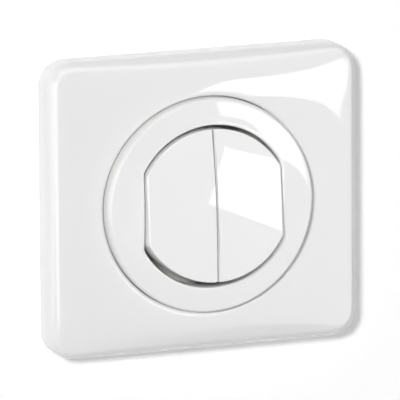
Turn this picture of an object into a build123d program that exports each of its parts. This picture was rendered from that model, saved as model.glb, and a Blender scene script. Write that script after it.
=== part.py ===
from build123d import *
from math import cos, radians, sin
import os

# Double rocker light switch on a round wall box.
# +Z is up, the front faces -Y and the wall's surface is the plane Y = 0, so a height in front
# of the wall is an offset of Plane.XZ, and a negative height lies inside the wall box.
# The two switch modules are mirror images, so each right-hand piece is drawn and then mirrored.

os.makedirs("parts", exist_ok=True)

# Cover plate
plate_width = 90.0
plate_height = 82.5
plate_corner = 7.0
plate_edge_height = 8.6
plate_crown = 3.5
crown_half_width = 50.4
crown_half_height = 41.5
crown_power_across = 2.3
crown_power_up = 7.8
plate_wall = 2.0
plate_edge_round = 2.5
plate_hole_radius = 30.15
plate_mouth_round = 1.25

# Trim ring and its opening
ring_radius = 29.85
ring_skirt_height = 6.0
ring_edge_height = 12.0
ring_shoulder_radius = 28.6
ring_shoulder_height = 14.6
ring_core_radius = 18.0
ring_core_height = 16.5
ring_wall = 1.5
opening_radius = 22.85
opening_half_width = 20.2
opening_corner = 3.0
opening_wall_height = 9.2

# Rockers
rest_tilt = 5.0
pivot_height = 10.2
rocker_mid = 9.8
rocker_inner_edge = 0.2
rocker_outer_edge = 19.7
rocker_half_height = 21.2
rocker_end_radius = 22.35
rocker_corner = 2.4
rocker_edge_round = 0.5
rocker_crown_radius = 175.0
rocker_face = 8.5
rocker_rim = 0.5
rocker_skin = 1.6
rocker_wall = 1.3

# Support frame
frame_size = 71.0
frame_back = 0.3
frame_front = 1.2
frame_window = 45.0
fixing_spacing = 60.0
fixing_slot_width = 3.8
fixing_slot_length = 8.0

# Switch modules
module_mid = 11.25
module_width = 22.0
module_height = 44.6
module_depth = 25.0
module_wall = 1.3
cover_thickness = 2.0
cover_height = 48.8
trunnion_radius = 1.5
running_gap = 0.05
contact_tilt = 5.0
knife_depth = 7.6
contact_reach = 9.0

front = Plane.XZ
side = Plane.YZ

# The rocker's own planes at rest: the face plane leans back at the top, the side plane is a
# section whose first direction runs up the face and whose second points out of it.
lean, rise = cos(radians(rest_tilt)), sin(radians(rest_tilt))
rocker_plane = Plane(origin=(0, -pivot_height, 0), x_dir=(1, 0, 0), z_dir=(0, -lean, rise))
rocker_side = Plane(origin=(0, -pivot_height, 0), x_dir=rocker_plane.y_dir, z_dir=(1, 0, 0))

# The contact rocker leans the other way about the knife edge that it stands on.
tip, drop = cos(radians(contact_tilt)), sin(radians(contact_tilt))
contact_plane = Plane(origin=(0, knife_depth, 0), x_dir=(1, 0, 0), z_dir=(0, -tip, -drop))
contact_side = Plane(origin=(0, knife_depth, 0), x_dir=contact_plane.y_dir, z_dir=(1, 0, 0))

pieces = {}


def keep(name, part):
    """Give a finished piece its name and hold it for the export at the end."""
    part.label = name
    pieces[name] = part


def keep_pair(name, part):
    """Keep a right-hand piece, and its mirror image for the left-hand module."""
    keep(name + "_right", part)
    keep(name + "_left", mirror(part, about=Plane.YZ))


# Cover plate: a pillow-shaped block lofted from arched sections, trimmed to the outline


def crown(x, z):
    """The front's height: broadly curved from side to side, flat with rolled ends up and down."""
    across = 1 - abs(x / crown_half_width) ** crown_power_across
    up = 1 - abs(z / crown_half_height) ** crown_power_up
    return plate_edge_height + plate_crown * across * up


def pillow(inset):
    """The crowned block that bounds the plate, or its hollow when it is set in by the wall."""
    half_width = plate_width / 2 + 1
    half_height = plate_height / 2 + 0.5
    with BuildPart() as block:
        for share in (-1.0, -0.75, -0.4, 0.0, 0.4, 0.75, 1.0):
            x = share * half_width
            with BuildSketch(side.offset(x)):
                with BuildLine():
                    ends = [-1.0, -0.96, -0.9, -0.8, -0.6, -0.3, 0.0, 0.3, 0.6, 0.8, 0.9, 0.96, 1.0]
                    arch = Spline(
                        *[(inset - crown(x, end * half_height), end * half_height) for end in ends]
                    )
                    Polyline(arch @ 1, (1, half_height), (1, -half_height), arch @ 0)
                make_face()
        loft()
        with BuildSketch(front.offset(-1)):
            RectangleRounded(
                plate_width - 2 * inset, plate_height - 2 * inset, plate_corner - 0.8 * inset
            )
        extrude(amount=20, mode=Mode.INTERSECT)
        crowned = block.faces().filter_by(GeomType.PLANE, reverse=True).sort_by(SortBy.AREA)[-1]
        fillet(crowned.edges(), radius=plate_edge_round - 0.5 * inset)
        split(bisect_by=front, keep=Keep.TOP)
    return block.part


plate_solid = pillow(0)
plate_hollow = pillow(plate_wall)

# Ribs and a collar behind the plate, cut to the plate's own outside
collar_wall = 1.6
collar_foot = 4.0
rib_foot = 6.0
rib_thickness = 1.2
arm_x = 36.7
arm_z = 14.0
arm_width = 6.0
arm_thickness = 1.4
arm_foot = 1.8
hook_height = 3.4

with BuildPart() as plate_ribs:
    with BuildSketch(front.offset(collar_foot)):
        Circle(plate_hole_radius + collar_wall)
        Circle(plate_hole_radius, mode=Mode.SUBTRACT)
    extrude(amount=12)
    with BuildSketch(front.offset(rib_foot)):
        with PolarLocations(plate_width / 2 - 1, 12, start_angle=0):
            Rectangle(2 * (plate_width / 2 - 1 - plate_hole_radius - 0.5), rib_thickness)
    extrude(amount=12)
    with BuildSketch(front.offset(arm_foot)):
        with Locations((arm_x, arm_z), (arm_x, -arm_z), (-arm_x, arm_z), (-arm_x, -arm_z)):
            Rectangle(arm_thickness, arm_width)
    extrude(amount=14)
    add(plate_solid, mode=Mode.INTERSECT)
    with BuildSketch(side.offset(-arm_x)):
        with Locations((-hook_height, arm_z), (-hook_height, -arm_z)):
            Rectangle(1.0, arm_width - 2)
    extrude(amount=1.6)
    with BuildSketch(side.offset(arm_x)):
        with Locations((-hook_height, arm_z), (-hook_height, -arm_z)):
            Rectangle(1.0, arm_width - 2)
    extrude(amount=-1.6)

with BuildPart() as cover_plate:
    add(plate_solid)
    add(plate_hollow, mode=Mode.SUBTRACT)
    add(plate_ribs.part)
    with BuildSketch(front):
        Circle(plate_hole_radius)
    extrude(amount=20, mode=Mode.SUBTRACT)
    mouth = cover_plate.edges().filter_by(
        lambda edge: edge.center().Y < -plate_edge_height
        and abs(Vector((edge @ 0).X, (edge @ 0).Z).length - plate_hole_radius) < 0.01
        and abs(Vector((edge @ 0.5).X, (edge @ 0.5).Z).length - plate_hole_radius) < 0.01
    )
    fillet(mouth, radius=plate_mouth_round)
keep("cover_plate", cover_plate.part)

# Trim ring: a shallow sloping face with a steep rounded shoulder, turned about the switch's
# centre line, with the opening cut through
leg_x = 24.1
leg_z = 11.0
leg_thickness = 1.4
leg_width = 4.8
leg_foot = -1.5
lip_round = 0.4
shoulder_rise = ring_shoulder_height - ring_edge_height
shoulder_run = ring_radius - ring_shoulder_radius

with BuildPart() as trim_ring:
    with BuildSketch(side):
        with BuildLine():
            Spline(
                *[
                    (
                        -ring_edge_height - shoulder_rise * sin(radians(turn)),
                        ring_shoulder_radius + shoulder_run * cos(radians(turn)),
                    )
                    for turn in (0, 30, 60, 90)
                ],
                tangents=((-1, 0), (-0.13, -1)),
            )
            face = Spline(
                (-ring_shoulder_height, ring_shoulder_radius),
                (-14.82, 27.0),
                (-15.13, 25.0),
                (-15.54, opening_radius),
                (-ring_core_height, ring_core_radius),
                tangents=((-0.13, -1), (-0.2, -1)),
            )
            under = Spline(
                (-ring_core_height + ring_wall, ring_core_radius),
                (-14.1, opening_radius),
                (-13.35, 26.2),
                (-12.7, 27.4),
                (-10.6, ring_radius - ring_wall),
                tangents=((0.2, 1), (1, 0.05)),
            )
            Line(face @ 1, under @ 0)
            Polyline(
                under @ 1,
                (-ring_skirt_height, ring_radius - ring_wall),
                (-ring_skirt_height, ring_radius),
                (-ring_edge_height, ring_radius),
            )
        make_face()
    revolve(axis=Axis.Y)
    with BuildSketch(front.offset(opening_wall_height)):
        Circle(opening_radius + ring_wall)
        Rectangle(2 * (opening_half_width + ring_wall), 60, mode=Mode.INTERSECT)
    extrude(amount=ring_core_height - ring_wall - opening_wall_height)
    with BuildSketch(front) as opening_outline:
        Circle(opening_radius)
        Rectangle(2 * opening_half_width, 60, mode=Mode.INTERSECT)
        fillet(opening_outline.vertices(), opening_corner)
    extrude(amount=20, mode=Mode.SUBTRACT)
    # four legs that reach back through the frame's notches, each with a hook at its foot
    with BuildSketch(front.offset(leg_foot)):
        with Locations((leg_x, leg_z), (leg_x, -leg_z), (-leg_x, leg_z), (-leg_x, -leg_z)):
            Rectangle(leg_thickness, leg_width)
    extrude(amount=ring_edge_height + 2.0 - leg_foot)
    with BuildSketch(front.offset(leg_foot)):
        with Locations((leg_x + 1, leg_z), (leg_x + 1, -leg_z)):
            Rectangle(2 + leg_thickness, leg_width)
        with Locations((-leg_x - 1, leg_z), (-leg_x - 1, -leg_z)):
            Rectangle(2 + leg_thickness, leg_width)
    extrude(amount=1.6)
    rim_edges = trim_ring.edges().filter_by(
        lambda edge: edge.center().Y < -ring_shoulder_height - 0.3
        and Vector(edge.center().X, edge.center().Z).length < opening_radius + 0.5
    )
    fillet(rim_edges, radius=lip_round)
keep("trim_ring", trim_ring.part)

# Rockers: half of a rounded outline each, hollow behind, both faces parts of one shallow sphere
peg_x = 2.6
peg_z = 11.0
peg_width = 2.4
peg_thickness = 1.2
peg_foot = 1.6
end_shift = rocker_end_radius - rocker_half_height


def rocker_block(inset, top, foot):
    """The rocker's outline carried up to its domed face, set in all round by inset."""
    with BuildPart() as block:
        with BuildSketch(rocker_plane.offset(foot)) as outline:
            with Locations((0, -end_shift)):
                Circle(rocker_end_radius - inset)
            with Locations((0, end_shift)):
                Circle(rocker_end_radius - inset, mode=Mode.INTERSECT)
            with Locations(((rocker_inner_edge + rocker_outer_edge) / 2, 0)):
                Rectangle(
                    rocker_outer_edge - rocker_inner_edge - 2 * inset, 60, mode=Mode.INTERSECT
                )
            outer_corners = outline.vertices().group_by(Axis.X)[-1]
            fillet(outer_corners, rocker_corner - inset / 2)
        extrude(amount=12)
        dome_middle = rocker_plane.offset(top - rocker_crown_radius).origin
        with Locations(Plane(origin=dome_middle, x_dir=-rocker_plane.z_dir, z_dir=(1, 0, 0))):
            Sphere(rocker_crown_radius, mode=Mode.INTERSECT)
    return block.part


rocker_hollow = rocker_block(rocker_wall, rocker_face - rocker_skin, rocker_rim)

with BuildPart() as rocker_ribs:
    with BuildSketch(rocker_plane.offset(rocker_rim + 4.3)):
        with Locations((rocker_mid - 5.8, 0), (rocker_mid + 5.8, 0)):
            Rectangle(1.0, 60)
        with Locations((rocker_mid, 6.5), (rocker_mid, -6.5), (rocker_mid, 17.2), (rocker_mid, -17.2)):
            Rectangle(30, 1.0)
    extrude(amount=8)
    with BuildSketch(rocker_plane.offset(peg_foot)):
        with Locations((rocker_mid, 0)):
            with GridLocations(2 * peg_x, 2 * peg_z, 2, 2):
                Rectangle(peg_width, peg_thickness)
    extrude(amount=8)
    add(rocker_block(rocker_wall / 2, rocker_face - rocker_skin / 2, rocker_rim), mode=Mode.INTERSECT)

with BuildPart() as rocker:
    add(rocker_block(0, rocker_face, rocker_rim))
    rocker_top = rocker.faces().filter_by(GeomType.SPHERE).sort_by(SortBy.AREA)[-1]
    fillet(rocker_top.edges(), radius=rocker_edge_round)
    add(rocker_hollow, mode=Mode.SUBTRACT)
    add(rocker_ribs.part)
keep_pair("rocker", rocker.part)

# Cradles: each turns in its cover's ears, and its stalk reaches in to the contacts
cheek_half = 5.1
ear_gap = 0.3
ear_thickness = 1.5
ear_inside = cheek_half + ear_gap
ear_outside = ear_inside + ear_thickness
platform_half_length = 14.2
platform_under = 2.7
platform_thickness = 1.6
stalk_radius = 2.6
stalk_foot = 11.4
bore_radius = 1.7
bore_top = 2.0

with BuildPart() as cradle:
    with BuildSketch(rocker_side.offset(rocker_mid - cheek_half)):
        with BuildLine():
            hub = Polyline(
                (-2.4, 0),
                (-2.9, platform_under),
                (-platform_half_length, platform_under),
                (-platform_half_length, platform_under + platform_thickness),
                (platform_half_length, platform_under + platform_thickness),
                (platform_half_length, platform_under),
                (2.9, platform_under),
                (2.4, 0),
            )
            ThreePointArc(hub @ 1, (0, -2.4), hub @ 0)
        make_face()
    extrude(amount=2 * cheek_half)
    ends = cradle.edges().filter_by(
        lambda edge: abs(edge.length - platform_thickness) < 0.01
    )
    fillet(ends, radius=3.5)
    with BuildSketch(rocker_side.offset(rocker_mid - ear_outside)):
        Circle(trunnion_radius)
    extrude(amount=2 * ear_outside)
    with BuildSketch(rocker_plane):
        with Locations((rocker_mid, 0)):
            Circle(stalk_radius)
    extrude(amount=-stalk_foot, taper=1)
    with BuildSketch(rocker_plane.offset(-stalk_foot - 1)):
        with Locations((rocker_mid, 0)):
            Circle(bore_radius)
    extrude(amount=stalk_foot + 1 - bore_top, mode=Mode.SUBTRACT)
    # slots for the rocker's four pegs
    with BuildSketch(rocker_plane.offset(platform_under - 0.5)):
        with Locations((rocker_mid, 0)):
            with GridLocations(2 * peg_x, 2 * peg_z, 2, 2):
                Rectangle(peg_width + 0.3, peg_thickness + 0.3)
    extrude(amount=platform_thickness + 1, mode=Mode.SUBTRACT)
keep_pair("cradle", cradle.part)

# Plungers: a stepped pin with a round nose that slides in the stalk's bore
plunger_radius = 1.62
plunger_nose = 1.0
plunger_head = 8.6
plunger_shoulder = 12.6
plunger_end = 16.7

with BuildPart() as plunger:
    with BuildSketch(rocker_side.offset(rocker_mid)):
        with BuildLine():
            outline = Polyline(
                (0, -plunger_end),
                (0, -plunger_head),
                (plunger_radius, -plunger_head),
                (plunger_radius, -plunger_shoulder),
                (plunger_nose, -plunger_shoulder - 0.8),
                (plunger_nose, -plunger_end + plunger_nose),
            )
            RadiusArc(outline @ 1, outline @ 0, plunger_nose)
        make_face()
    revolve(axis=Axis(origin=(rocker_mid, -pivot_height, 0), direction=rocker_plane.z_dir))
keep_pair("plunger", plunger.part)

# Plunger springs: a few turns of fine wire between the bore's end and the plunger's head
spring_wire = 0.22
spring_radius = 1.2
spring_top = bore_top + spring_wire + 0.05
spring_bottom = plunger_head - spring_wire - 0.05
spring_turns = 5

spring_foot = rocker_plane.from_local_coords(Vector(rocker_mid, 0, -spring_bottom))
with BuildPart() as plunger_spring:
    with BuildLine():
        coil = Helix(
            pitch=(spring_bottom - spring_top) / spring_turns,
            height=spring_bottom - spring_top,
            radius=spring_radius,
            center=spring_foot,
            direction=rocker_plane.z_dir,
        )
    with BuildSketch(Plane(origin=coil @ 0, z_dir=coil % 0)):
        Circle(spring_wire)
    sweep(path=coil)
keep_pair("plunger_spring", plunger_spring.part)

# Contact rockers: a stiff strip that see-saws on the common terminal's knife edge
strip_width = 6.0
strip_half_length = 10.6
strip_under = -0.3
strip_top = 0.6
strip_ridge = 0.9
notch_half_width = 0.9

with BuildPart() as contact_rocker:
    with BuildSketch(contact_side.offset(rocker_mid - strip_width / 2)):
        with BuildLine():
            Polyline(
                (-strip_half_length, strip_under),
                (-notch_half_width, strip_under),
                (0, 0.1),
                (notch_half_width, strip_under),
                (strip_half_length, strip_under),
                (strip_half_length, strip_top),
                (3.2, strip_top),
                (0, strip_ridge),
                (-3.2, strip_top),
                (-strip_half_length, strip_top),
                close=True,
            )
        make_face()
    extrude(amount=strip_width)
    corners = contact_rocker.edges().filter_by(
        lambda edge: abs(edge.length - strip_top + strip_under) < 0.01
    )
    fillet(corners, radius=1.5)
keep_pair("contact_rocker", contact_rocker.part)

# Silver contacts: a domed button under each end of the strip, and a flat one facing it
moving_radius = 1.5
moving_thickness = 0.7
fixed_radius = 1.8
fixed_top = 9.6
fixed_thickness = 0.6

with BuildPart() as moving_contacts:
    with BuildSketch(contact_plane.offset(strip_under)):
        with Locations((rocker_mid, contact_reach), (rocker_mid, -contact_reach)):
            Circle(moving_radius)
    extrude(amount=-moving_thickness)
    for button in moving_contacts.solids():
        nose = button.edges().sort_by(Axis.Y)[-1]
        fillet(nose, radius=0.4)
keep_pair("moving_contacts", moving_contacts.part)

with BuildPart() as fixed_contacts:
    with BuildSketch(front.offset(-fixed_top)):
        with Locations((rocker_mid, contact_reach), (rocker_mid, -contact_reach)):
            Circle(fixed_radius)
    extrude(amount=-fixed_thickness)
keep_pair("fixed_contacts", fixed_contacts.part)

# Terminals: bent brass strips that carry the fixed contacts or the knife edge, and end in
# the leg that a clamp spring presses the wire against
brass = 0.8
terminal_width = 12.0
leg_face = 13.8
leg_end = 21.5
pad_start = 6.8
pad_top = fixed_top + fixed_thickness
common_face = -3.2
common_foot = 12.0
knife_half = 0.5

with BuildPart() as upper_terminal:
    with BuildSketch(side.offset(rocker_mid - strip_width / 2)):
        with Locations((pad_top, pad_start)):
            Rectangle(brass, leg_face - pad_start, align=Align.MIN)
    extrude(amount=strip_width)
    with BuildSketch(side.offset(rocker_mid - terminal_width / 2)):
        with Locations((pad_top, leg_face - brass)):
            Rectangle(leg_end - pad_top, brass, align=Align.MIN)
    extrude(amount=terminal_width)
keep_pair("upper_terminal", upper_terminal.part)
keep_pair("lower_terminal", mirror(upper_terminal.part, about=Plane.XY))

with BuildPart() as common_terminal:
    with BuildSketch(side.offset(rocker_mid - strip_width / 2)):
        with BuildLine():
            Polyline(
                (knife_depth, 0),
                (knife_depth + 1.4, knife_half),
                (common_foot + brass, knife_half),
                (common_foot + brass, common_face - brass),
                (common_foot, common_face - brass),
                (common_foot, -knife_half),
                (knife_depth + 1.4, -knife_half),
                close=True,
            )
        make_face()
    extrude(amount=strip_width)
    with BuildSketch(side.offset(rocker_mid - terminal_width / 2)):
        with Locations((common_foot, common_face - brass)):
            Rectangle(leg_end - common_foot, brass, align=Align.MIN)
    extrude(amount=terminal_width)
keep_pair("common_terminal", common_terminal.part)

# Clamp springs and release levers: one of each for every terminal, at the back
spring_strip = 0.4
spring_width = 11.0
lever_half = 1.9
lever_near = 1.4
lever_far = 3.6
lever_tip = 17.8
lever_back = 26.6
lever_shoulder = 22.2
rear_wall = 1.5


def clamp_spring(face, way):
    """A leaf folded over at the front, its free end resting by the terminal leg's face."""
    with BuildPart() as leaf:
        with BuildSketch(side.offset(rocker_mid - spring_width / 2)):
            with BuildLine():
                FilletPolyline(
                    (21.3, face + way * 6.7),
                    (12.6, face + way * 6.7),
                    (12.6, face + way * 4.2),
                    (18.4, face + way * 0.5),
                    radius=1.0,
                )
            trace(line_width=spring_strip)
        extrude(amount=spring_width)
    return leaf.part


def release_lever(face, way):
    """A push button in the rear wall whose slanted tip bears on the clamp spring."""
    middle = face + way * (lever_near + lever_far) / 2
    with BuildPart() as lever:
        with BuildSketch(side.offset(rocker_mid - lever_half)):
            with BuildLine():
                Polyline(
                    (lever_back, face + way * lever_near),
                    (lever_tip, face + way * lever_near),
                    (lever_tip - 1.2, face + way * (lever_near + 1.0)),
                    (lever_tip - 1.2, face + way * lever_far),
                    (lever_back, face + way * lever_far),
                    close=True,
                )
            make_face()
        extrude(amount=2 * lever_half)
        with BuildSketch(front.offset(-lever_shoulder)):
            with Locations((rocker_mid, middle)):
                Rectangle(2 * lever_half + 1.4, lever_far - lever_near)
        extrude(amount=-(module_depth - rear_wall - lever_shoulder))
        grip = lever.edges().filter_by(Axis.X).sort_by(Axis.Y)[-2:]
        fillet(grip, radius=0.6)
    return lever.part


terminals = {
    "upper": (leg_face, 1),
    "common": (common_face, 1),
    "lower": (-leg_face, -1),
}
for place, (face, way) in terminals.items():
    keep_pair("clamp_spring_" + place, clamp_spring(face, way))
    keep_pair("release_lever_" + place, release_lever(face, way))

# Module bases: a deep moulded box with a chamber for each terminal, open at the front
partition = 11.5
wire_radius = 1.4
wire_reach = 4.0
window_gap = 0.3
snap_start = -0.15
snap_height = 1.2

with BuildPart() as module_base:
    with BuildSketch(front.offset(-module_depth)):
        with Locations((module_mid, 0)):
            RectangleRounded(module_width, module_height, 1.5)
    extrude(amount=module_depth + frame_front)
    back = module_base.faces().sort_by(Axis.Y)[-1]
    chamfer(back.edges(), length=0.8)
    with BuildSketch(front.offset(frame_front)):
        with Locations((module_mid, 0)):
            Rectangle(module_width - 2 * module_wall, module_height - 2 * module_wall)
    extrude(amount=-(frame_front + module_depth - rear_wall), mode=Mode.SUBTRACT)
    with BuildSketch(front.offset(-module_depth + rear_wall / 2)):
        with Locations((module_mid, partition), (module_mid, -partition), (module_mid, 4.35)):
            Rectangle(module_width - module_wall, 1.0)
    extrude(amount=12.7)
    # wire entries and lever windows in the rear wall
    with BuildSketch(front.offset(-module_depth)):
        for face, way in terminals.values():
            with Locations((rocker_mid, face + way * 1.6)):
                with GridLocations(2 * wire_reach, 0, 2, 1):
                    Circle(wire_radius)
    extrude(amount=rear_wall, mode=Mode.SUBTRACT)
    mouths = module_base.edges().filter_by(GeomType.CIRCLE).filter_by(
        lambda edge: abs(edge.center().Y - module_depth) < 0.01
    )
    chamfer(mouths, length=0.45)
    with BuildSketch(front.offset(-module_depth)):
        for face, way in terminals.values():
            with Locations((rocker_mid, face + way * (lever_near + lever_far) / 2)):
                Rectangle(
                    2 * (lever_half + window_gap), lever_far - lever_near + 2 * window_gap
                )
    extrude(amount=rear_wall, mode=Mode.SUBTRACT)
    # snap wedges that hold the module behind the support frame
    with BuildSketch(side.offset(module_mid - 4)):
        for way in (1, -1):
            with BuildLine():
                Polyline(
                    (snap_start, way * (module_height / 2 - 0.2)),
                    (snap_start, way * (module_height / 2 + 1.1)),
                    (snap_start + snap_height, way * (module_height / 2 + 1.1)),
                    (snap_start + 3.4, way * (module_height / 2 - 0.2)),
                    close=True,
                )
            make_face()
    extrude(amount=8)
    # shallow grooves down the outer flank
    with BuildSketch(side.offset(module_mid + module_width / 2)):
        with Locations((13.0, 0)):
            with GridLocations(0, 8.0, 1, 5):
                SlotOverall(16.0, 2.4)
    extrude(amount=-0.5, mode=Mode.SUBTRACT)
keep_pair("module_base", module_base.part)

# Module covers: the front plate of each module, with the ears that the cradle turns in
ear_top = 2.4
ear_root = 4.6
slot_half_length = 3.6
slot_half_width = 3.1
stop_z = 12.0
stop_height = 11.1
cover_top = frame_front + cover_thickness

with BuildPart() as module_cover:
    with BuildSketch(front.offset(frame_front)):
        with Locations((module_mid, 0)):
            RectangleRounded(module_width, cover_height, 1.5)
    extrude(amount=cover_thickness)
    with BuildSketch(front.offset(frame_front)):
        with Locations((module_mid, 0)):
            Rectangle(module_width - 3.2, module_height - 3.2)
            Rectangle(module_width - 5.2, module_height - 5.2, mode=Mode.SUBTRACT)
    extrude(amount=-1.8)
    for ear_x in (rocker_mid - ear_outside, rocker_mid + ear_inside):
        with BuildSketch(side.offset(ear_x)):
            with BuildLine():
                root = Line((-cover_top + 0.5, ear_root), (-cover_top + 0.5, -ear_root))
                rising = Line(root @ 1, (-pivot_height, -ear_top))
                crown = ThreePointArc(
                    rising @ 1, (-pivot_height - ear_top, 0), (-pivot_height, ear_top)
                )
                Line(crown @ 1, root @ 0)
            make_face()
        extrude(amount=ear_thickness)
    with BuildSketch(side.offset(rocker_mid - ear_outside - 1)):
        with Locations((-pivot_height, 0)):
            Circle(trunnion_radius + running_gap)
    extrude(amount=2 * ear_outside + 2, mode=Mode.SUBTRACT)
    with BuildSketch(front.offset(cover_top - 0.5)):
        with Locations((rocker_mid, stop_z), (rocker_mid, -stop_z)):
            Rectangle(2.4, 3.0)
    extrude(amount=stop_height - cover_top + 0.5, taper=3)
    with BuildSketch(front.offset(-1)):
        with Locations((rocker_mid, 0)):
            RectangleRounded(2 * slot_half_width, 2 * slot_half_length, 1.0)
    extrude(amount=cover_top + 1, mode=Mode.SUBTRACT)
keep_pair("module_cover", module_cover.part)

# Support frame: a pressed steel plate with slots for the wall box's screws, notches for the
# ring's legs and four upright tabs for the plate's arms
tab_height = 5.4
tab_x = 35.0
tab_thickness = 1.0
tab_width = 8.0
notch_depth = 3.2
notch_width = 5.6
flange_height = 2.6

with BuildPart() as support_frame:
    with BuildSketch(front.offset(frame_back)):
        RectangleRounded(frame_size, frame_size, 4.0)
        Rectangle(frame_window, frame_window, mode=Mode.SUBTRACT)
        with Locations(
            (frame_window / 2, leg_z),
            (frame_window / 2, -leg_z),
            (-frame_window / 2, leg_z),
            (-frame_window / 2, -leg_z),
        ):
            Rectangle(2 * notch_depth, notch_width, mode=Mode.SUBTRACT)
        with Locations((fixing_spacing / 2, 0), (-fixing_spacing / 2, 0)):
            SlotOverall(fixing_slot_length, fixing_slot_width, mode=Mode.SUBTRACT)
        with Locations((0, fixing_spacing / 2), (0, -fixing_spacing / 2)):
            SlotOverall(fixing_slot_length, fixing_slot_width, rotation=90, mode=Mode.SUBTRACT)
    extrude(amount=frame_front - frame_back)
    with BuildSketch(front.offset(frame_back)):
        with GridLocations(2 * tab_x, 2 * arm_z, 2, 2):
            Rectangle(tab_thickness, tab_width)
        with Locations((0, frame_size / 2 - 0.5), (0, -frame_size / 2 + 0.5)):
            Rectangle(frame_size - 16, 1.0)
    extrude(amount=tab_height - frame_back)
    with BuildSketch(front.offset(flange_height)):
        with Locations((0, frame_size / 2), (0, -frame_size / 2)):
            Rectangle(frame_size, 4)
    extrude(amount=tab_height, mode=Mode.SUBTRACT)
    with BuildSketch(side.offset(-tab_x - 1)):
        with Locations((-hook_height, arm_z), (-hook_height, -arm_z)):
            Rectangle(1.6, arm_width - 1)
    extrude(amount=2 * tab_x + 2, mode=Mode.SUBTRACT)
keep("support_frame", support_frame.part)

for name, part in pieces.items():
    export_step(part, f"parts/{name}.step")
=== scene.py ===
import bpy
import bmesh
from math import atan2, cos, pi, radians, sin, sqrt
from mathutils import Matrix, Vector


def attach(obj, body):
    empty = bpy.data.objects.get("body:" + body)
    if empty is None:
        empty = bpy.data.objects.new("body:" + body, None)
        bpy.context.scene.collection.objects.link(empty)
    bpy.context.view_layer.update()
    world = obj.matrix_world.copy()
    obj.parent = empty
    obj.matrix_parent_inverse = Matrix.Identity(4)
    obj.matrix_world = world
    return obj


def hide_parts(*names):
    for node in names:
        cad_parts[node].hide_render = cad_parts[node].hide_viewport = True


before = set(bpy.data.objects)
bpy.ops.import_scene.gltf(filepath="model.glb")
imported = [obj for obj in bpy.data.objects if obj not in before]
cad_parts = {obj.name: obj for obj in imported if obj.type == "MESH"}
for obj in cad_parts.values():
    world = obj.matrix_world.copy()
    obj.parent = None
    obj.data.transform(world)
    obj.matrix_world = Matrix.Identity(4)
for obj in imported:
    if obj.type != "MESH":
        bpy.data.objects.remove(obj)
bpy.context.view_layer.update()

# Studio: a pale floor, one key lamp high on the left, and a softbox on the right that the
# glossy faces mirror. Broad white panels in front, on both sides and overhead are seen only in
# reflections, and the camera stands to the left and a little above.


class Signal:
    """One output socket of a material's nodes: sums on it add Math nodes."""

    def __init__(self, tree, socket=None):
        self.tree = tree
        self.socket = socket

    def node(self, kind, settings=None, sockets=None, output=0):
        """Add a node, make its settings, then give its sockets their values or links."""
        made = self.tree.nodes.new("ShaderNode" + kind)
        for name, value in (settings or {}).items():
            if name == "stops":
                ramp = made.color_ramp
                while len(ramp.elements) < len(value):
                    ramp.elements.new(0.5)
                for stop, (place, shade) in zip(ramp.elements, value):
                    stop.position = place
                    stop.color = shade
            else:
                setattr(made, name, value)
        for name, value in (sockets or {}).items():
            if isinstance(value, Signal):
                self.tree.links.new(value.socket, made.inputs[name])
            else:
                made.inputs[name].default_value = value
        return Signal(self.tree, made.outputs[output])

    def maths(self, operation, first, second):
        return self.node("Math", {"operation": operation}, {0: first, 1: second})

    def __add__(self, other):
        return self.maths("ADD", self, other)

    def __radd__(self, other):
        return self.maths("ADD", other, self)

    def __sub__(self, other):
        return self.maths("SUBTRACT", self, other)

    def __rsub__(self, other):
        return self.maths("SUBTRACT", other, self)

    def __mul__(self, other):
        return self.maths("MULTIPLY", self, other)

    def __rmul__(self, other):
        return self.maths("MULTIPLY", other, self)


def new_material(name):
    """An empty material, and the signal that its nodes start from."""
    material = bpy.data.materials.new(name)
    material.use_nodes = True
    material.node_tree.nodes.clear()
    return material, Signal(material.node_tree)


def put_out(signal, surface):
    """Send a finished shader to the material's output."""
    end = signal.tree.nodes.new("ShaderNodeOutputMaterial")
    signal.tree.links.new(surface.socket, end.inputs["Surface"])


def lamp_material(name, radiance):
    """A plain glowing sheet."""
    material, start = new_material(name)
    put_out(start, start.node("Emission", {}, {"Color": (1, 1, 1, 1), "Strength": radiance}))
    return material


def sheet_of(name, corners, material):
    """A flat sheet through the given corners."""
    shape = bmesh.new()
    shape.faces.new([shape.verts.new(corner) for corner in corners])
    mesh = bpy.data.meshes.new(name)
    shape.to_mesh(mesh)
    shape.free()
    mesh.materials.append(material)
    piece = bpy.data.objects.new(name, mesh)
    bpy.context.scene.collection.objects.link(piece)
    return piece


swing, lift, roll = radians(-20.796), radians(12.1), radians(-0.346)
aim = Vector((0.00198, 0, -0.00131))
distance = 1.9911
back = Vector((sin(swing) * cos(lift), -cos(swing) * cos(lift), sin(lift)))
level = Vector((cos(swing), sin(swing), 0))
upward = back.cross(level)
camera_right = level * cos(roll) + upward * sin(roll)
camera_up = upward * cos(roll) - level * sin(roll)
view = bpy.data.cameras.new("camera")
view.sensor_width = 36
view.lens = 650.5
camera = bpy.data.objects.new("camera", view)
camera.matrix_world = Matrix.Translation(aim + back * distance) @ Matrix(
    (camera_right, camera_up, back)
).transposed().to_4x4()
bpy.context.scene.collection.objects.link(camera)
bpy.context.scene.camera = camera
bpy.context.scene.view_settings.view_transform = "Standard"

air_strength = 0.26
background_strength = 1.05
sky = bpy.data.worlds.new("studio_air")
bpy.context.scene.world = sky
sky.use_nodes = True
sky.node_tree.nodes.clear()
air = Signal(sky.node_tree)
seen = air.node("LightPath", output=0)
sky_light = air.node("Background", {}, {"Color": (1, 1, 1, 1), "Strength": air_strength})
sky_seen = air.node("Background", {}, {"Color": (1, 1, 1, 1), "Strength": background_strength})
sky_mix = air.node("MixShader", {}, {0: seen, 1: sky_light, 2: sky_seen})
sky_end = sky.node_tree.nodes.new("ShaderNodeOutputWorld")
sky.node_tree.links.new(sky_mix.socket, sky_end.inputs["Surface"])

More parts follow.
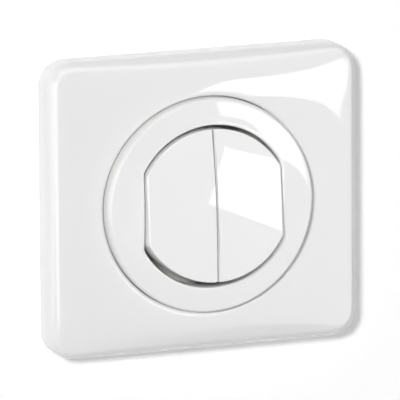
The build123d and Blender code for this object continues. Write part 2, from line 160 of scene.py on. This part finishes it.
softbox = sheet_of(
    "softbox",
    [(0.332, -0.8, 0.125), (0.700, -0.8, 0.028), (0.612, -0.8, -0.177), (0.263, -0.8, -0.029)],
    lamp_material("softbox_cloth", 6.5),
)
front_panel = sheet_of(
    "front_panel",
    [(-0.45, -2.3, -0.70), (-0.45, -2.3, 1.20), (-2.74, -2.3, 1.20), (-2.74, -2.3, -0.70)],
    lamp_material("front_panel_cloth", 3.9),
)
side_panel = sheet_of(
    "side_panel",
    [(-2.74, -2.3, -0.70), (-2.74, -2.3, 1.20), (-2.74, 0.6, 1.20), (-2.74, 0.6, -0.70)],
    lamp_material("side_panel_cloth", 2.6),
)
top_panel = sheet_of(
    "top_panel",
    [(-0.9, -3.0, 1.6), (2.4, -3.0, 1.6), (2.4, -0.2, 1.6), (-0.9, -0.2, 1.6)],
    lamp_material("top_panel_cloth", 3.0),
)

# The panel on the right fades in over 0.7 m from its inner edge.
fading_cloth, cloth_start = new_material("right_panel_cloth")
outward = cloth_start.node("SeparateXYZ", {}, {0: cloth_start.node("TexCoord", output=3)})
fade = cloth_start.node("Clamp", {}, {"Value": outward * 1.4 - 0.1, "Min": 0.0, "Max": 1.0})
unlit = cloth_start.node("Emission", {}, {"Color": (1, 1, 1, 1), "Strength": 0.0})
lit = cloth_start.node("Emission", {}, {"Color": (1, 1, 1, 1), "Strength": 2.6})
put_out(cloth_start, cloth_start.node("MixShader", {}, {0: fade, 1: unlit, 2: lit}))
right_panel = sheet_of(
    "right_panel",
    [(0.07, -1.0, -1.0), (2.60, -1.0, -1.0), (2.60, -1.0, 0.9), (0.07, -1.0, 0.9)],
    fading_cloth,
)
key_lamp = sheet_of(
    "key_lamp",
    [(-1.55, -2.05, 0.67), (-1.11, -2.05, 0.67), (-1.11, -2.05, 1.11), (-1.55, -2.05, 1.11)],
    lamp_material("key_lamp_cloth", 91.0),
)

# The panels are there only to be mirrored, and the key lamp only to light. The camera sees no
# lamp or panel itself.
for panel in (front_panel, side_panel, top_panel, right_panel):
    panel.visible_diffuse = False
    panel.visible_shadow = False
key_lamp.visible_glossy = False
for light in (softbox, front_panel, side_panel, top_panel, right_panel, key_lamp):
    light.visible_camera = False


def painted_board(name, shade, glow):
    """Matt pale paint, with a slight glow that stands for light from the rest of the room."""
    material, start = new_material(name)
    paint = start.node("BsdfDiffuse", {}, {"Color": (shade, shade, shade, 1)})
    light = start.node("Emission", {}, {"Color": (1, 1, 1, 1), "Strength": glow})
    put_out(start, start.node("AddShader", {}, {0: paint, 1: light}))
    return material


floor_z, floor_reach = -0.8, 3.0
sheet_of(
    "floor",
    [
        (-floor_reach, -floor_reach, floor_z),
        (floor_reach, -floor_reach, floor_z),
        (floor_reach, floor_reach, floor_z),
        (-floor_reach, floor_reach, floor_z),
    ],
    painted_board("floor_white", 0.72, 0.03),
)

# Cover plate: one white moulding, polished in the mould. Its front is a broad pillow with
# rolled upper and lower ends, and behind it are a collar round the hole, ribs and clip arms.
plate_half_width = 45.0
plate_half_height = 41.25
plate_corner = 7.0
plate_edge_height = 8.6
plate_crown = 3.83
crown_half_width, crown_width_power = 49.6, 2.0
crown_half_height, crown_height_power = 41.3, 10.2
plate_round = 2.5
plate_wall = 2.0
hole_radius = 30.1
mouth_width = 1.4
mouth_depth = 1.4
collar_wall = 1.6
collar_foot = 4.0
plate_points = 360


def crown(x, z):
    """Height of the plate's front before its edge is rounded."""
    across = 1 - abs(x / crown_half_width) ** crown_width_power
    up = 1 - abs(z / crown_half_height) ** crown_height_power
    return plate_edge_height + plate_crown * across * max(up, 0)


def plate_reach(angle, inset):
    """From the middle to the plate's outline, set in by inset."""
    across, up = abs(cos(angle)), abs(sin(angle))
    half_width = plate_half_width - inset
    half_height = plate_half_height - inset
    corner = plate_corner - inset
    reach = min(half_width / max(across, 1e-9), half_height / max(up, 1e-9))
    corner_x, corner_z = half_width - corner, half_height - corner
    if reach * across > corner_x and reach * up > corner_z:
        along = across * corner_x + up * corner_z
        reach = along + sqrt(along**2 - corner_x**2 - corner_z**2 + corner**2)
    return reach


def plate_point(angle, row):
    """One point of the plate's section: row is (kind, amount)."""
    kind, amount = row
    if kind == "wall":
        reach = plate_reach(angle, 0)
        height = amount
    elif kind == "rim":
        reach = plate_reach(angle, amount[0])
        height = amount[1]
    elif kind == "edge":
        reach = plate_reach(angle, plate_round * (1 - cos(amount)))
        height = crown(reach * cos(angle), reach * sin(angle)) - plate_round * (1 - sin(amount))
    elif kind == "front":
        reach = plate_reach(angle, plate_round) * (1 - amount)
        reach += (hole_radius + mouth_width) * amount
        height = crown(reach * cos(angle), reach * sin(angle))
    elif kind == "mouth":
        reach = hole_radius + mouth_width * (1 - sin(amount))
        height = crown(reach * cos(angle), reach * sin(angle)) - mouth_depth * (1 - cos(amount))
    elif kind == "collar":
        reach, height = amount
    elif kind == "ceiling":
        reach = plate_reach(angle, plate_wall + 1.2) * amount
        reach += (hole_radius + collar_wall) * (1 - amount)
        height = crown(reach * cos(angle), reach * sin(angle)) - plate_wall
    else:
        reach = plate_reach(angle, plate_wall)
        height = crown(reach * cos(angle), reach * sin(angle)) - plate_wall - amount
    return Vector((reach * cos(angle), -height, reach * sin(angle)))


def draw_round(shape, count, place, rows):
    """A ring of points carried through rows by extruding its edges, and closed on itself."""
    ring = bmesh.ops.create_circle(shape, segments=count, radius=1)["verts"]
    edges = list({edge for point in ring for edge in point.link_edges})
    for index, point in enumerate(ring):
        point.co = place(2 * pi * index / count, rows[0])
    for row in rows[1:] + rows[:1]:
        grown = bmesh.ops.extrude_edge_only(shape, edges=edges)["geom"]
        edges = [item for item in grown if isinstance(item, bmesh.types.BMEdge)]
        for point in grown:
            if isinstance(point, bmesh.types.BMVert):
                point.co = place(atan2(point.co.z, point.co.x), row)
    bmesh.ops.remove_doubles(shape, verts=shape.verts, dist=0.0005)


def add_block(shape, low, high, edge=0.15):
    """A rectangular lug with slightly broken edges, between two corners."""
    made = bmesh.ops.create_cube(shape, size=1)["verts"]
    for point in made:
        point.co = Vector(
            [a if c < 0 else b for a, b, c in zip(low, high, point.co)]
        )
    rim = list({line for point in made for line in point.link_edges})
    bmesh.ops.bevel(
        shape, geom=made + rim, offset=edge, segments=2, affect="EDGES", profile=0.5, material=-1
    )


def finish_piece(name, shape, body, material, smooth=40):
    """Millimetres to metres, outward faces, soft shading with sharp creases, and its body."""
    bmesh.ops.recalc_face_normals(shape, faces=shape.faces)
    bmesh.ops.scale(shape, vec=(0.001, 0.001, 0.001), verts=shape.verts)
    mesh = bpy.data.meshes.new(name)
    shape.to_mesh(mesh)
    shape.free()
    mesh.shade_smooth()
    mesh.set_sharp_from_angle(angle=radians(smooth))
    mesh.materials.append(material)
    piece = bpy.data.objects.new(name, mesh)
    bpy.context.scene.collection.objects.link(piece)
    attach(piece, body)
    return piece


def gloss_white(name, tint, roughness, seed):
    """Polished white moulding: faint flow marks in its colour, gloss and surface."""
    material, start = new_material(name)
    place = start.node("TexCoord", output=3)
    spot = start.node("Mapping", {}, {"Vector": place, "Location": (seed, 2 * seed, 0)})
    cloud = start.node("TexNoise", {}, {"Vector": spot, "Scale": 30.0, "Detail": 2.0})
    fine = start.node("TexNoise", {}, {"Vector": spot, "Scale": 900.0, "Detail": 2.0})
    colour = start.node(
        "ValToRGB",
        {"stops": [(0.3, (*[c * 0.992 for c in tint], 1)), (0.7, (*tint, 1))]},
        {"Fac": cloud},
    )
    ripple = start.node(
        "Bump", {}, {"Height": cloud * 0.3 + fine * 0.02, "Strength": 0.02, "Distance": 0.0003}
    )
    shader = start.node(
        "BsdfPrincipled",
        {},
        {
            "Base Color": colour,
            "Roughness": roughness + 0.015 * fine,
            "IOR": 1.5,
            "Normal": ripple,
        },
    )
    put_out(start, shader)
    return material


right_angle_steps = [radians(90 * step / 8) for step in range(9)]
plate_rows = [("rim", (0.2, 0.0)), ("wall", 0.2)]
plate_rows += [("edge", turn) for turn in right_angle_steps]
plate_rows += [("front", step / 28) for step in range(1, 28)]
plate_rows += [("mouth", turn) for turn in right_angle_steps]
plate_rows += [
    ("collar", (hole_radius, collar_foot + 0.3)),
    ("collar", (hole_radius + 0.3, collar_foot)),
    ("collar", (hole_radius + collar_wall - 0.3, collar_foot)),
    ("collar", (hole_radius + collar_wall, collar_foot + 0.3)),
]
plate_rows += [("ceiling", step / 8) for step in range(9)]
plate_rows += [("inner", 1.2), ("rim", (plate_wall, 0.2)), ("rim", (plate_wall - 0.2, 0.0))]

plate_shape = bmesh.new()
draw_round(plate_shape, plate_points, plate_point, plate_rows)
rib_count, rib_foot, rib_thickness = 12, 6.0, 1.2
for spoke in range(rib_count):
    turn = 2 * pi * spoke / rib_count
    rib = bmesh.ops.create_grid(plate_shape, x_segments=10, y_segments=1, size=1)["verts"]
    for point in rib:
        share = (point.co.x + 1) / 2
        reach = (hole_radius + 0.8) * (1 - share) + (plate_reach(turn, 1.0)) * share
        x, z = reach * cos(turn), reach * sin(turn)
        height = rib_foot if point.co.y < 0 else crown(x, z) - 1.0 - 1.5 * share**8
        point.co = Vector((x, -height, z)) - rib_thickness / 2 * Vector((-sin(turn), 0, cos(turn)))
    sides = list({face for point in rib for face in point.link_faces})
    grown = bmesh.ops.extrude_face_region(plate_shape, geom=sides)["geom"]
    far = [item for item in grown if isinstance(item, bmesh.types.BMVert)]
    bmesh.ops.translate(
        plate_shape, verts=far, vec=(-rib_thickness * sin(turn), 0, rib_thickness * cos(turn))
    )
arm_x, arm_z = 36.7, 14.0
arm_half_thickness, arm_half_width, arm_foot = 0.7, 3.0, 1.8
hook_step, hook_half_depth, hook_half_width = 1.1, 0.8, 2.0
hook_low, hook_high = 2.9, 3.9
for side in (1, -1):
    for end in (1, -1):
        x, z = side * arm_x, end * arm_z
        add_block(
            plate_shape,
            (x - arm_half_thickness, -crown(x, z) + plate_wall / 2, z - arm_half_width),
            (x + arm_half_thickness, -arm_foot, z + arm_half_width),
        )
        hook_x = x - side * hook_step
        add_block(
            plate_shape,
            (hook_x - hook_half_depth, -hook_high, z - hook_half_width),
            (hook_x + hook_half_depth, -hook_low, z + hook_half_width),
        )
plate_white = gloss_white("plate_white", (0.830, 0.832, 0.828), 0.02, 0.0)
plate = finish_piece("plate", plate_shape, "switch_body", plate_white)
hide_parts("cover_plate")

# Display wall: the matt white board that the plate is shown on. It isn't part of the switch, and
# it is cut out a little inside the plate's outline.
board_y = 0.05
board_overlap = 0.8
board_border = 60.0


def board_point(angle, inset):
    """A point of the board's cut-out, or of its outer edge where inset is negative."""
    reach = plate_reach(angle, max(inset, 0)) - min(inset, 0)
    return Vector((reach * cos(angle), board_y, reach * sin(angle)))


board_shape = bmesh.new()
ring = bmesh.ops.create_circle(board_shape, segments=plate_points, radius=1)["verts"]
edges = list({edge for point in ring for edge in point.link_edges})
for index, point in enumerate(ring):
    point.co = board_point(2 * pi * index / plate_points, board_overlap)
grown = bmesh.ops.extrude_edge_only(board_shape, edges=edges)["geom"]
for point in grown:
    if isinstance(point, bmesh.types.BMVert):
        point.co = board_point(atan2(point.co.z, point.co.x), -board_border)
bmesh.ops.scale(board_shape, vec=(0.001, 0.001, 0.001), verts=board_shape.verts)
board_mesh = bpy.data.meshes.new("display_wall")
board_shape.to_mesh(board_mesh)
board_shape.free()
board_mesh.materials.append(painted_board("wall_white", 0.98, 0.06))
board = bpy.data.objects.new("display_wall", board_mesh)
bpy.context.scene.collection.objects.link(board)

# Painted shade of the wall box: a flat grey sheet just inside the box's mouth, which closes the view
# through the gaps beside the rockers and stands for the shade there. It is seen from the front only,
# and stops no light.
shade_half_width, shade_half_height, shade_y = 0.040, 0.036, 0.004
shade_grey, shade_start = new_material("box_shade")
from_behind = shade_start.node("NewGeometry", output=6)
# painted shade: a flat grey that stands for the dark inside the wall box
grey = shade_start.node("BsdfDiffuse", {}, {"Color": (0.3, 0.3, 0.3, 1)})
clear = shade_start.node("BsdfTransparent")
put_out(shade_start, shade_start.node("MixShader", {}, {0: from_behind, 1: grey, 2: clear}))
box_shade = sheet_of(
    "box_shade",
    [
        (-shade_half_width, shade_y, -shade_half_height),
        (shade_half_width, shade_y, -shade_half_height),
        (shade_half_width, shade_y, shade_half_height),
        (-shade_half_width, shade_y, shade_half_height),
    ],
    shade_grey,
)
box_shade.visible_diffuse = False
box_shade.visible_glossy = False
box_shade.visible_transmission = False
box_shade.visible_shadow = False

# Trim ring: a polished white moulding whose sloping face ends in a steep rounded shoulder, with
# a deep skirt behind. Its opening is a round hole with two flat sides, and four hooked legs
# hold it behind the steel frame.
ring_radius = 29.95
ring_wall = 1.5
skirt_foot = 6.0
shoulder_middle = 29.1
shoulder_foot = 12.55
shoulder_rise = 1.75
shoulder_end = radians(86.3)
face_slope = 0.128
face_hollow = 0.0055
opening_radius = 22.7
opening_half_width = 20.0
opening_corner = 3.0
opening_foot = 9.2
lip_round = 0.55
ring_points = 288


def ring_face(reach):
    """Height of the ring's slightly hollow face at a distance from the middle."""
    inward = shoulder_middle - reach
    return shoulder_foot + shoulder_rise + face_slope * inward + face_hollow * inward**2


def opening_reach(angle, out):
    """From the middle to the opening's outline, moved outwards by out."""
    across, up = abs(cos(angle)), abs(sin(angle))
    corner_x = opening_half_width - opening_corner
    corner_z = sqrt((opening_radius - opening_corner) ** 2 - corner_x**2)
    if up * (opening_half_width + out) < corner_z * across:
        return (opening_half_width + out) / across
    if up * corner_x > corner_z * across:
        return opening_radius + out
    along = across * corner_x + up * corner_z
    return along + sqrt(along**2 - corner_x**2 - corner_z**2 + (opening_corner + out) ** 2)


def ring_point(angle, row):
    """One point of the ring's section: row is (kind, amount)."""
    kind, amount = row
    if kind == "shoulder":
        reach = shoulder_middle + (ring_radius - shoulder_middle) * cos(amount)
        height = shoulder_foot + shoulder_rise * sin(amount)
    elif kind == "face":
        reach = shoulder_middle * (1 - amount) + opening_reach(angle, lip_round) * amount
        height = ring_face(reach)
    elif kind == "lip":
        reach = opening_reach(angle, lip_round * (1 - sin(amount)))
        height = ring_face(reach) - lip_round * (1 - cos(amount))
    elif kind == "opening":
        reach, height = opening_reach(angle, amount[0]), amount[1]
    elif kind == "under":
        reach = opening_reach(angle, ring_wall) * (1 - amount)
        reach += (ring_radius - ring_wall) * amount
        height = ring_face(reach) - ring_wall
    else:
        reach, height = amount
    return Vector((reach * cos(angle), -height, reach * sin(angle)))


ring_rows = [("skirt", (ring_radius - 0.2, skirt_foot))]
ring_rows += [("skirt", (ring_radius, skirt_foot + 0.2))]
ring_rows += [("shoulder", shoulder_end * step / 10) for step in range(11)]
ring_rows += [("face", step / 14) for step in range(1, 15)]
ring_rows += [("lip", turn) for turn in right_angle_steps[2::2]]
ring_rows += [("opening", (0.0, opening_foot + 0.2)), ("opening", (0.2, opening_foot))]
ring_rows += [("opening", (ring_wall, opening_foot))]
ring_rows += [("under", step / 6) for step in range(7)]
ring_rows += [("skirt", (ring_radius - ring_wall, skirt_foot))]

ring_shape = bmesh.new()
draw_round(ring_shape, ring_points, ring_point, ring_rows)
leg_x, leg_z = 24.1, 11.0
leg_half_thickness, leg_half_width = 0.7, 2.4
leg_root, leg_end = -13.8, 1.5
foot_reach, foot_thickness = 2.7, 1.6
for side in (1, -1):
    for end in (1, -1):
        x, z = side * leg_x, end * leg_z
        add_block(
            ring_shape,
            (x - leg_half_thickness, leg_root, z - leg_half_width),
            (x + leg_half_thickness, leg_end, z + leg_half_width),
        )
        foot = sorted((x - side * leg_half_thickness, x + side * foot_reach))
        add_block(
            ring_shape,
            (foot[0], leg_end - foot_thickness, z - leg_half_width),
            (foot[1], leg_end, z + leg_half_width),
        )
ring_white = gloss_white("ring_white", (0.852, 0.854, 0.850), 0.02, 1.0)
ring_piece = finish_piece("ring", ring_shape, "switch_body", ring_white)
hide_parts("trim_ring")

# Rockers: two polished white buttons, hollow behind. Their faces are parts of one shallow
# sphere, so the pair looks like a single lens split down the middle.
rocker_radius = 22.3
rocker_half_height = 21.15
rocker_inner, rocker_outer = 0.25, 19.6
rocker_sphere = 175.0
rocker_face = 8.5
rocker_rim = 0.5
rocker_round = 0.4
rocker_corner, hollow_corner = 0.6, 0.3
rocker_wall, rocker_skin = 1.3, 1.6
rocker_pivot = 10.2
rocker_tilt = radians(5)


def face_height(x, y):
    """Height of the rockers' common sphere above the pivot."""
    return sqrt(rocker_sphere**2 - x**2 - y**2) - rocker_sphere + rocker_face


def draw_outline(inset, corner):
    """The flat outline of the right-hand rocker: two wide arcs cut by two straight sides."""
    shape = bmesh.new()
    disc = bmesh.ops.create_circle(
        shape, segments=160, radius=rocker_radius - inset, cap_ends=True
    )["verts"]
    bmesh.ops.translate(shape, verts=disc, vec=(0, rocker_half_height - rocker_radius, 0))

    def cut(place, way):
        bmesh.ops.bisect_plane(
            shape,
            geom=shape.verts[:] + shape.edges[:] + shape.faces[:],
            plane_co=place,
            plane_no=way,
            clear_outer=True,
        )

    cut((0, 0, 0), (0, -1, 0))
    bmesh.ops.mirror(
        shape, geom=shape.verts[:] + shape.edges[:] + shape.faces[:], axis="Y", merge_dist=0.001
    )
    middle = [edge for edge in shape.edges if len(edge.link_faces) == 2]
    bmesh.ops.dissolve_edges(shape, edges=middle)
    cut((rocker_outer - inset, 0, 0), (1, 0, 0))
    cut((rocker_inner + inset, 0, 0), (-1, 0, 0))
    ends = (rocker_outer - inset, rocker_inner + inset)
    corners = [
        point
        for point in shape.verts
        if min(abs(point.co.x - end) for end in ends) < 0.001 and abs(point.co.y) > 1
    ]
    nearby = {
        point: end
        for end in corners
        for point in shape.verts
        if point not in corners and (point.co - end.co).length < corner + 0.2
    }
    bmesh.ops.weld_verts(shape, targetmap=nearby)
    bmesh.ops.bevel(
        shape,
        geom=corners,
        offset=corner,
        segments=5,
        affect="VERTICES",
        profile=0.5,
        material=-1,
    )
    return shape


rocker_shape = draw_outline(0, rocker_corner)
lid_face = rocker_shape.faces[:][0]
bmesh.ops.translate(rocker_shape, verts=lid_face.verts, vec=(0, 0, -rocker_round))
steps = [radians(90 * step / 6) for step in range(7)]
for before, after in zip(steps[:-1], steps[1:]):
    bmesh.ops.inset_region(
        rocker_shape,
        faces=[lid_face],
        thickness=rocker_round * (cos(before) - cos(after)),
        use_even_offset=True,
        use_boundary=True,
    )
    for point in lid_face.verts:
        point.co.z = -rocker_round * (1 - sin(after))
for way, places in (((1, 0, 0), range(1, 20)), ((0, 1, 0), range(-20, 21))):
    for place in places:
        flat = [face for face in rocker_shape.faces if all(p.co.z > -1e-4 for p in face.verts)]
        lines = list({line for face in flat for line in face.edges})
        points = list({point for face in flat for point in face.verts})
        bmesh.ops.bisect_plane(
            rocker_shape,
            geom=points + lines + flat,
            plane_co=Vector(way) * (place + 0.013),
            plane_no=way,
        )
inner_sharpness = 0.3  # the edge beside the other rocker is rounded less than the rest
for point in rocker_shape.verts:
    if point.co.x < rocker_inner + rocker_round:
        point.co.x = rocker_inner + inner_sharpness * (point.co.x - rocker_inner)
    point.co.z += face_height(point.co.x, point.co.y)


def drop_rim(shape):
    """Carry a cap's open edge straight down to the rim."""
    loop = [edge for edge in shape.edges if len(edge.link_faces) == 1]
    grown = bmesh.ops.extrude_edge_only(shape, edges=loop)["geom"]
    for point in grown:
        if isinstance(point, bmesh.types.BMVert):
            point.co.z = rocker_rim


drop_rim(rocker_shape)
hollow = draw_outline(rocker_wall, hollow_corner)
for point in hollow.verts:
    point.co.z = face_height(point.co.x, point.co.y) - rocker_skin
drop_rim(hollow)
hollow_mesh = bpy.data.meshes.new("hollow")
hollow.to_mesh(hollow_mesh)
hollow.free()
rocker_shape.from_mesh(hollow_mesh)
bpy.data.meshes.remove(hollow_mesh)
rim = [edge for edge in rocker_shape.edges if len(edge.link_faces) == 1]
bmesh.ops.triangle_fill(rocker_shape, edges=rim, use_beauty=True)
rib_low, rib_high, cross_rib_high, rib_half = 4.8, 6.0, 5.6, 0.5
for x, reach in ((4.0, 19.5), (15.6, 12.4)):
    add_block(rocker_shape, (x - rib_half, -reach, rib_low), (x + rib_half, reach, rib_high))
for y, reach in ((-17.2, 9.8), (-6.5, 18.3), (6.5, 18.3), (17.2, 9.8)):
    add_block(rocker_shape, (1.2, y - rib_half, rib_low), (reach, y + rib_half, cross_rib_high))
peg_half_width, peg_half_height = 1.2, 0.6
peg_low, peg_high = 1.6, 6.0
for x in (7.2, 12.4):
    for y in (-11.0, 11.0):
        add_block(
            rocker_shape,
            (x - peg_half_width, y - peg_half_height, peg_low),
            (x + peg_half_width, y + peg_half_height, peg_high),
        )
lean = Matrix(
    (
        (1, 0, 0, 0),
        (0, sin(rocker_tilt), -cos(rocker_tilt), -rocker_pivot),
        (0, cos(rocker_tilt), sin(rocker_tilt), 0),
        (0, 0, 0, 1),
    )
)
rocker_shape.transform(lean)
rocker_white = gloss_white("rocker_white", (0.875, 0.877, 0.873), 0.02, 2.0)
for name, way in (("right", 1), ("left", -1)):
    shape = rocker_shape.copy()
    bmesh.ops.scale(shape, vec=(way, 1, 1), verts=shape.verts)
    rocker = finish_piece("button_" + name, shape, "rocker_" + name, rocker_white)
    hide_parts("rocker_" + name)
rocker_shape.free()

# Cradles: satin grey nylon mouldings. Each turns on two trunnions in its cover's ears, and the
# rocker's pegs snap into its platform.


def satin_moulding(name, dark, light, roughness, grain):
    """Unpolished moulding: a fine spark-eroded grain, with slow changes of tone."""
    material, start = new_material(name)
    place = start.node("TexCoord", output=3)
    cloud = start.node("TexNoise", {}, {"Vector": place, "Scale": 120.0, "Detail": 3.0})
    grit = start.node("TexNoise", {}, {"Vector": place, "Scale": grain, "Detail": 3.0})
    colour = start.node(
        "ValToRGB", {"stops": [(0.3, (*dark, 1)), (0.7, (*light, 1))]}, {"Fac": cloud}
    )
    dimple = start.node("Bump", {}, {"Height": grit, "Strength": 0.25, "Distance": 0.00008})
    shader = start.node(
        "BsdfPrincipled",
        {},
        {"Base Color": colour, "Roughness": roughness + 0.12 * grit, "IOR": 1.5, "Normal": dimple},
    )
    put_out(start, shader)
    return material


def dress(names, material, edge):
    """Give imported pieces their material, and merge and slightly round their edges."""
    for name in names:
        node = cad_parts[name]
        node.data.materials.clear()
        node.data.materials.append(material)
        node.data.shade_smooth()
        weld = node.modifiers.new("merge", "WELD")
        weld.merge_threshold = 0.000002
        if edge:
            bevel = node.modifiers.new("edges", "BEVEL")
            bevel.width = edge / 1000
            bevel.segments = 2
            bevel.limit_method = "ANGLE"
            bevel.angle_limit = radians(35)
            bevel.harden_normals = True
        even = node.modifiers.new("shading", "WEIGHTED_NORMAL")
        even.weight = 80


grey_nylon = satin_moulding("grey_nylon", (0.44, 0.45, 0.46), (0.49, 0.50, 0.51), 0.42, 2600.0)
dress(["cradle_right", "cradle_left"], grey_nylon, 0.15)

# Plungers and their springs: a turned grey nylon pin in each cradle's stalk, pushed down by a
# coil of bright wire.


def drawn_metal(name, dark, light, roughness, along, across):
    """Rolled or drawn metal: fine lines along the strip, and slightly uneven brightness."""
    material, start = new_material(name)
    place = start.node("TexCoord", output=3)
    lined = start.node("Mapping", {}, {"Vector": place, "Scale": (across, across, along)})
    lines = start.node("TexNoise", {}, {"Vector": lined, "Scale": 1.0, "Detail": 4.0})
    cloud = start.node("TexNoise", {}, {"Vector": place, "Scale": 200.0, "Detail": 2.0})
    colour = start.node(
        "ValToRGB",
        {"stops": [(0.3, (*dark, 1)), (0.7, (*light, 1))]},
        {"Fac": cloud * 0.6 + lines * 0.4},
    )
    scratch = start.node("Bump", {}, {"Height": lines, "Strength": 0.15, "Distance": 0.00004})
    shader = start.node(
        "BsdfPrincipled",
        {},
        {
            "Base Color": colour,
            "Metallic": 1.0,
            "Roughness": roughness + 0.15 * lines,
            "Normal": scratch,
        },
    )
    put_out(start, shader)
    return material


dress(["plunger_right", "plunger_left"], grey_nylon, 0)
spring_wire = drawn_metal("spring_wire", (0.52, 0.53, 0.54), (0.66, 0.67, 0.68), 0.18, 900, 900)
dress(["plunger_spring_right", "plunger_spring_left"], spring_wire, 0)

# Contact rockers: see-saw strips of copper alloy, each with two silver buttons riveted under
# its ends. The fixed silver buttons face them from the upper and lower terminals.
copper_strip = drawn_metal("copper_strip", (0.62, 0.33, 0.20), (0.76, 0.45, 0.29), 0.26, 300, 4000)
dress(["contact_rocker_right", "contact_rocker_left"], copper_strip, 0.1)
silver = drawn_metal("contact_silver", (0.70, 0.69, 0.67), (0.84, 0.83, 0.81), 0.20, 1500, 1500)
dress(
    ["moving_contacts_right", "moving_contacts_left", "fixed_contacts_right", "fixed_contacts_left"],
    silver,
    0.1,
)

# Terminals: bent strips of bare brass that carry the fixed contacts or the knife edge, and end
# in the leg that the wire is clamped to.
brass_strip = drawn_metal("brass_strip", (0.60, 0.44, 0.18), (0.74, 0.57, 0.27), 0.24, 300, 4000)
for side in ("right", "left"):
    dress(
        [place + "_terminal_" + side for place in ("upper", "common", "lower")],
        brass_strip,
        0.1,
    )

# Clamp springs: folded leaves of spring steel, one for each terminal, that press a wire
# against the terminal's leg.
spring_leaf = drawn_metal("spring_leaf", (0.46, 0.47, 0.48), (0.62, 0.63, 0.64), 0.22, 300, 3000)
for side in ("right", "left"):
    dress(
        ["clamp_spring_" + place + "_" + side for place in ("upper", "common", "lower")],
        spring_leaf,
        0.05,
    )

# Release levers: orange nylon push buttons in the rear wall, each bearing on a clamp spring.
orange_nylon = satin_moulding("orange_nylon", (0.66, 0.17, 0.03), (0.76, 0.22, 0.05), 0.38, 2400.0)
for side in ("right", "left"):
    dress(
        ["release_lever_" + place + "_" + side for place in ("upper", "common", "lower")],
        orange_nylon,
        0.12,
    )

# Switch modules: a deep base and a front cover each, moulded in off-white heat-resistant
# plastic with a satin surface, and snapped together through the steel frame.
module_white = satin_moulding("module_white", (0.66, 0.66, 0.63), (0.71, 0.71, 0.68), 0.40, 2200.0)
for side in ("right", "left"):
    dress(["module_base_" + side], module_white, 0.2)
    dress(["module_cover_" + side], module_white, 0.15)

# Support frame: pressed steel sheet with a bluish zinc plating, which carries the modules, the
# plate and the ring, and is screwed to the wall box.
zinc, zinc_start = new_material("zinc_plating")
zinc_place = zinc_start.node("TexCoord", output=3)
spangle = zinc_start.node("TexVoronoi", {}, {"Vector": zinc_place, "Scale": 260.0})
film = zinc_start.node("TexNoise", {}, {"Vector": zinc_place, "Scale": 70.0, "Detail": 4.0})
zinc_colour = zinc_start.node(
    "ValToRGB",
    {"stops": [(0.25, (0.46, 0.49, 0.53, 1)), (0.75, (0.63, 0.65, 0.67, 1))]},
    {"Fac": film * 0.8 + spangle * 0.25},
)
pressing = zinc_start.node("Bump", {}, {"Height": film, "Strength": 0.1, "Distance": 0.0001})
put_out(
    zinc_start,
    zinc_start.node(
        "BsdfPrincipled",
        {},
        {
            "Base Color": zinc_colour,
            "Metallic": 1.0,
            "Roughness": 0.26 + 0.18 * film,
            "Normal": pressing,
        },
    ),
)
dress(["support_frame"], zinc, 0.12)
